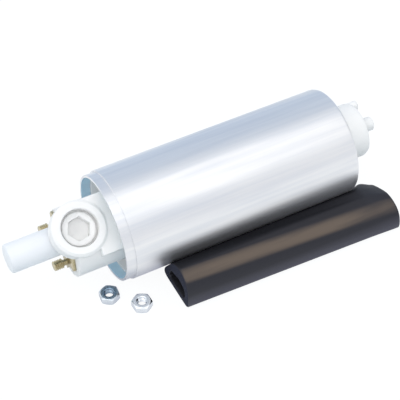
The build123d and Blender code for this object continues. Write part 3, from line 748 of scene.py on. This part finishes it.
def makeNut(name, turn, shade, tint):
    low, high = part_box(name)
    angles = anglesRound(nut["columns"])
    outer = nut["flats"] / 2 / np.cos((angles % (pi / 3)) - pi / 6)
    drop = np.clip(outer - nut["face"], 0, None) * tan(radians(nut["chamfer"]))
    height, sink, bore, mouth, face = (nut[key] for key in ("height", "sink", "bore", "mouth", "face"))
    soften, corner, flank, threaded = (nut[key] for key in ("soften", "corner", "flank", "rows"))
    middle = (bore + mouth) / 2
    rows = [(bore, z) for z in np.linspace(sink, height - sink, threaded)]
    rows += [(middle, height - sink / 2), (mouth - soften, height - soften), (mouth + soften, height)]
    rows += [(face, height), (outer - corner, height - drop), (outer, height - drop - flank)]
    rows += [(outer, drop + flank), (outer - corner, drop), (face, 0)]
    rows += [(mouth + soften, 0), (mouth - soften, soften), (middle, sink / 2)]
    mesh = ringMesh(name + "Blank", turnedRings(rows, angles), closed=True)
    thread = np.zeros((len(rows), len(angles)))
    thread[:threaded] = threadShares(threaded, nut["runOut"])
    boreShare, mouthShare, ringShare = nut["shadeShares"]
    # painted shade: tint all over the nut, and shade in the bore, its mouth and the ring round it
    recess = np.full_like(thread, tint)
    recess[:threaded] += boreShare * shade
    recess[threaded:threaded + 3] += mouthShare * shade
    recess[threaded + 3] += ringShare * shade
    markPoints(mesh, "thread", thread)
    markPoints(mesh, "recess", recess)
    mesh = bakeTrees(
        name + "Mesh", mesh, threadTree, Pitch=nut["pitch"] * mm, Depth=-nut["depth"] * mm,
        Finish=materials["zinc_plate"],
    )
    place = Matrix.Translation(((low.x + high.x) / 2, (low.y + high.y) / 2, low.z))
    mesh.transform(place @ Matrix.Rotation(radians(turn), 4, "Z"))
    addTree(newPiece(name + "_threaded", mesh, "zinc_plate", name, name), shadeTree)


for name, look in nut["looks"].items():
    makeNut(name, **look)
print("nuts made")


# brass terminals: contact tab, neck and threaded stud, in millimetres from the casing's near end
stud = dict(
    radius=2.0, reach=25.1, face=20.1, root=0.4, neckRadius=1.2, neckEnd=21.2, taper=0.4,
    pitch=0.7, depth=0.34, runOut=3, tip=0.35, tipShape=(0.5, 0.35), tipMiddle=0.12, columns=64, rows=40,
    tabEdge=0.14, tabKeep=0.05, tabFlat=radians(1), tabSharp=radians(50),
)


# the CAD terminal up to its face, with its edges rounded
def makeTab(name):
    work = bmesh.new()
    work.from_mesh(nodes[name].data)
    bmesh.ops.remove_doubles(work, verts=work.verts, dist=weldDistance)
    bmesh.ops.dissolve_limit(work, angle_limit=stud["tabFlat"], verts=work.verts, edges=work.edges)
    gone = [v for v in work.verts if v.co.x < -(stud["face"] + stud["tabKeep"]) * mm]
    bmesh.ops.delete(work, geom=gone, context="VERTS")
    bmesh.ops.holes_fill(work, edges=work.edges)
    bmesh.ops.recalc_face_normals(work, faces=work.faces)
    sharp = [e for e in work.edges if len(e.link_faces) == 2 and e.calc_face_angle() > stud["tabSharp"]]
    bmesh.ops.bevel(
        work, geom=sharp, offset=stud["tabEdge"] * mm, segments=2, profile=0.5, affect="EDGES",
        clamp_overlap=True,
    )
    return work


def makeTerminal(side):
    name = side + "_terminal"
    angles = anglesRound(stud["columns"])
    radius, tip, threaded = stud["radius"], stud["tip"], stud["rows"]
    neckEnd, end = stud["neckEnd"] - stud["face"], stud["reach"] - stud["face"]
    inward, back = stud["tipShape"]
    rows = [(stud["neckRadius"], -stud["root"]), (stud["neckRadius"], neckEnd)]
    first = len(rows)
    rows += [(radius, z) for z in np.linspace(neckEnd + stud["taper"], end - tip, threaded)]
    rows += [(radius - inward * tip, end - back * tip), (radius - tip, end)]
    rows += [(radius / 2, end), (stud["tipMiddle"], end)]
    mesh = ringMesh(name + "Stud", turnedRings(rows, angles))
    thread = np.zeros((len(rows), len(angles)))
    thread[first:first + threaded] = threadShares(threaded, stud["runOut"], past=3)
    markPoints(mesh, "thread", thread)
    mesh = bakeTrees(
        name + "Threaded", mesh, threadTree, Pitch=stud["pitch"] * mm, Depth=stud["depth"] * mm,
        Finish=materials["brass"],
    )
    _, y, z = mounts[side + "_stud"]["pos_m"]
    place = Matrix.Translation((-stud["face"] * mm, y, z))
    mesh.transform(place @ Matrix.Rotation(radians(-90), 4, "Y"))
    whole = makeTab(name)
    whole.from_mesh(mesh)
    joined = bpy.data.meshes.new(name + "Mesh")
    whole.to_mesh(joined)
    whole.free()
    joined.materials.clear()
    joined.materials.append(materials["brass"])
    addTree(newPiece(name + "_threaded", joined, "brass", "pump", name), shadeTree)


for side in ("positive", "negative"):
    makeTerminal(side)
print("terminals made")


# coil springs in place of the plain solids, in millimetres; axis runs from the fixed end
brushSpring = dict(axis=(1, 0, 0), travel=4.0, wire=0.26, turns=11.0)
springs = {
    "check_valve_spring": dict(
        joint="check_valve_lift", axis=(1, 0, 0), travel=1.8, wire=0.22, turns=5.5,
    ),
    "relief_valve_spring": dict(
        joint="relief_valve_lift", axis=(0, sin(rollAngle), -cos(rollAngle)), travel=1.2, wire=0.17,
        turns=4.5, length=2.5, radius=1.2,
    ),
    "positive_brush_spring": dict(joint="positive_brush_travel", **brushSpring),
    "negative_brush_spring": dict(joint="negative_brush_travel", **brushSpring),
}


def makeCoil(name, axis, middle, length, radius, wire, turns, finish):
    seed = bpy.data.meshes.new(name + "Seed")
    mesh = bakeTrees(
        name + "Mesh", seed, springTree, Radius=radius * coilForm["fit"] - wire, Wire=wire, Turns=turns,
        Length=length - 2 * wire, Finish=materials[finish],
    )
    foot = Vector(middle) - axis * (length / 2 - wire)
    mesh.transform(Matrix.Translation(foot) @ axis.to_track_quat("Z", "Y").to_matrix().to_4x4())
    return mesh


def makeSpring(name, look):
    low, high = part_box(name)
    axis = Vector(look["axis"])
    length = look["length"] * mm if "length" in look else high.x - low.x
    radius = look["radius"] * mm if "radius" in look else (high.z - low.z) / 2
    middle = (low + high) / 2
    mesh = makeCoil(name, axis, middle, length, radius, look["wire"] * mm, look["turns"], "spring_steel")
    piece = newPiece(name + "_coil", mesh, "spring_steel", "pump", name)
    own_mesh(piece)


for name, look in springs.items():
    makeSpring(name, look)
print("springs made")


# suppression chokes: a wire wound on a core
choke = dict(wire=0.33, turns=17.0, wound=0.96, coreRadius=1.34, columns=20, edge=0.2)


def makeChoke(side):
    name = side + "_choke"
    low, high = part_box(name)
    middle = (low + high) / 2
    length, radius = high.x - low.x, (high.z - low.z) / 2
    mesh = makeCoil(
        name + "Winding", Vector((1, 0, 0)), middle, length * choke["wound"], radius, choke["wire"] * mm,
        choke["turns"], "copper",
    )
    newPiece(name + "_winding", mesh, "copper", "pump")
    core, edge, reach = choke["coreRadius"], choke["edge"], length / mm
    rows = [(core - edge, 0), (core, edge), (core, reach - edge), (core - edge, reach)]
    mesh = ringMesh(name + "Core", turnedRings(rows, anglesRound(choke["columns"])))
    place = Matrix.Translation((low.x, middle.y, middle.z))
    mesh.transform(place @ Matrix.Rotation(radians(90), 4, "Y"))
    addTree(newPiece(name + "_core", mesh, "ferrite", "pump", name), shadeTree)


for side in ("positive", "negative"):
    makeChoke(side)
print("chokes made")


# studio: pale floor, soft light and the camera
studio = dict(
    cameraPlace=(-0.1231, -0.3066, 0.3814), azimuth=-27.54, elevation=48.19, lens=121.73, sensor=36.0,
    clip=(0.01, 20.0),
    boxPlace=(0.3, -0.19, 0.9), boxSize=(2.2, 1.15), boxRadiance=0.59,
    sky=[  # degrees round the pump's axis from behind it, over the top, to the front
        (0, (0.56, 0.655, 0.80)), (44, (0.58, 0.665, 0.79)), (66, (0.66, 0.71, 0.78)),
        (69, (0.50, 0.52, 0.55)), (90, (0.51, 0.515, 0.525)), (130, (0.53, 0.535, 0.545)),
        (134, (0.88, 0.905, 0.935)), (150, (0.86, 0.885, 0.925)), (165, (0.88, 0.89, 0.92)),
        (180, (0.95, 0.95, 0.97)),
    ],
    sideColour=(1.16, 1.17, 1.19), sideReach=(0.0, -0.4),  # the sky past the pump's outlet end
    floorLift=-0.02152, floorReach=4.0, floorColour=(0.50, 0.575, 0.615),
    floorGlow=1.15, floorShare=0.8,  # a glow in place of this share of the paper, where it is seen
    floorFar=(0.57, 0.665, 0.81), floorFade=(0.07, 0.15),  # the floor that the back of the casing mirrors
    shadeReach=0.014, shadeSamples=8, floorShade=(0.24, 0.25, 0.36),  # the same, close to the object
)


def makeSky(scene):
    world = bpy.data.worlds.new("studio")
    scene.world = world
    world.use_nodes = True
    tree = world.node_tree
    tree.nodes.clear()
    place = addNode(tree, "ShaderNodeTexCoord").outputs["Generated"]
    along, across, height = addNode(tree, "ShaderNodeSeparateXYZ", {0: place}).outputs
    turn = doMath(tree, "DIVIDE", doMath(tree, "ARCTAN2", height, across), pi)
    ramp = addNode(tree, "ShaderNodeValToRGB", {0: turn})
    stops = ramp.color_ramp.elements
    while len(stops) < len(studio["sky"]):
        stops.new(1.0)
    for stop, (angle, colour) in zip(stops, studio["sky"]):
        stop.position = angle / 180
        stop.color = (*colour, 1.0)
    aside = mapRange(tree, along, *studio["sideReach"])
    shade = paintOver(tree, aside, ramp.outputs[0], studio["sideColour"])
    seen = addNode(tree, "ShaderNodeLightPath").outputs["Is Camera Ray"]
    shown = mixColours(tree, seen, shade, white)
    sky = addNode(tree, "ShaderNodeBackground", {"Color": shown, "Strength": 1.0})
    out = addNode(tree, "ShaderNodeOutputWorld")
    tree.links.new(sky.outputs[0], out.inputs[0])


def makePaper():
    paper = bpy.data.materials.new("paper")
    paper.use_nodes = True
    tree = paper.node_tree
    tree.nodes.clear()
    path = addNode(tree, "ShaderNodeLightPath").outputs
    seen = doMath(tree, "MAXIMUM", path["Is Camera Ray"], path["Is Glossy Ray"])
    seen = doMath(tree, "MAXIMUM", seen, path["Is Transmission Ray"])
    matt = addNode(tree, "ShaderNodeBsdfDiffuse", {"Color": (*studio["floorColour"], 1.0)})
    place = addNode(tree, "ShaderNodeTexCoord").outputs["Object"]
    across = addNode(tree, "ShaderNodeSeparateXYZ", {0: place}).outputs[1]
    behind = product(tree, mapRange(tree, across, *studio["floorFade"]), path["Is Glossy Ray"])
    tint = paintOver(tree, behind, white, studio["floorFar"])
    reach, samples = studio["shadeReach"], studio["shadeSamples"]
    near = addNode(tree, "ShaderNodeAmbientOcclusion", {"Distance": reach}, samples=samples)
    dim = mixColours(tree, near.outputs["AO"], (*studio["floorShade"], 1.0), white)
    shade = mixColours(tree, path["Is Glossy Ray"], white, dim)
    tint = addNode(tree, "ShaderNodeVectorMath", {0: tint, 1: shade}, operation="MULTIPLY").outputs[0]
    glow = addNode(tree, "ShaderNodeEmission", {"Color": tint, "Strength": studio["floorGlow"]})
    share = product(tree, seen, studio["floorShare"])
    both = addNode(tree, "ShaderNodeMixShader", {0: share, 1: matt.outputs[0], 2: glow.outputs[0]})
    out = addNode(tree, "ShaderNodeOutputMaterial")
    tree.links.new(both.outputs[0], out.inputs[0])
    return paper


def makeFloor(scene):
    reach, z = studio["floorReach"], studio["floorLift"]
    corners = [(-reach, -reach, z), (reach, -reach, z), (reach, reach, z), (-reach, reach, z)]
    mesh = bpy.data.meshes.new("floor")
    mesh.from_pydata(corners, [], [(0, 1, 2, 3)])
    mesh.materials.append(makePaper())
    floor = bpy.data.objects.new("floor", mesh)
    scene.collection.objects.link(floor)


def makeLamp(scene):
    lamp = bpy.data.lights.new("softbox", "AREA")
    lamp.shape = "RECTANGLE"
    lamp.size, lamp.size_y = studio["boxSize"]
    lamp.energy = studio["boxRadiance"] * 4 * lamp.size * lamp.size_y
    box = bpy.data.objects.new("softbox", lamp)
    place = Vector(studio["boxPlace"])
    box.location = place
    box.rotation_euler = (Vector((place.x, 0, 0)) - place).to_track_quat("-Z", "Y").to_euler()
    scene.collection.objects.link(box)


def makeCamera(scene):
    camera = bpy.data.objects.new("camera", bpy.data.cameras.new("camera"))
    camera.data.lens = studio["lens"]
    camera.data.sensor_width = studio["sensor"]
    camera.data.clip_start, camera.data.clip_end = studio["clip"]
    azimuth, elevation = radians(studio["azimuth"]), radians(studio["elevation"])
    back = Vector((sin(azimuth) * cos(elevation), -cos(azimuth) * cos(elevation), sin(elevation)))
    camera.location = studio["cameraPlace"]
    camera.rotation_mode = "QUATERNION"
    camera.rotation_quaternion = (-back).to_track_quat("-Z", "Y")
    scene.collection.objects.link(camera)
    scene.camera = camera


scene = bpy.context.scene
scene.view_settings.view_transform = "Standard"
for makeIt in (makeSky, makeFloor, makeLamp, makeCamera):
    makeIt(scene)
print("studio made")
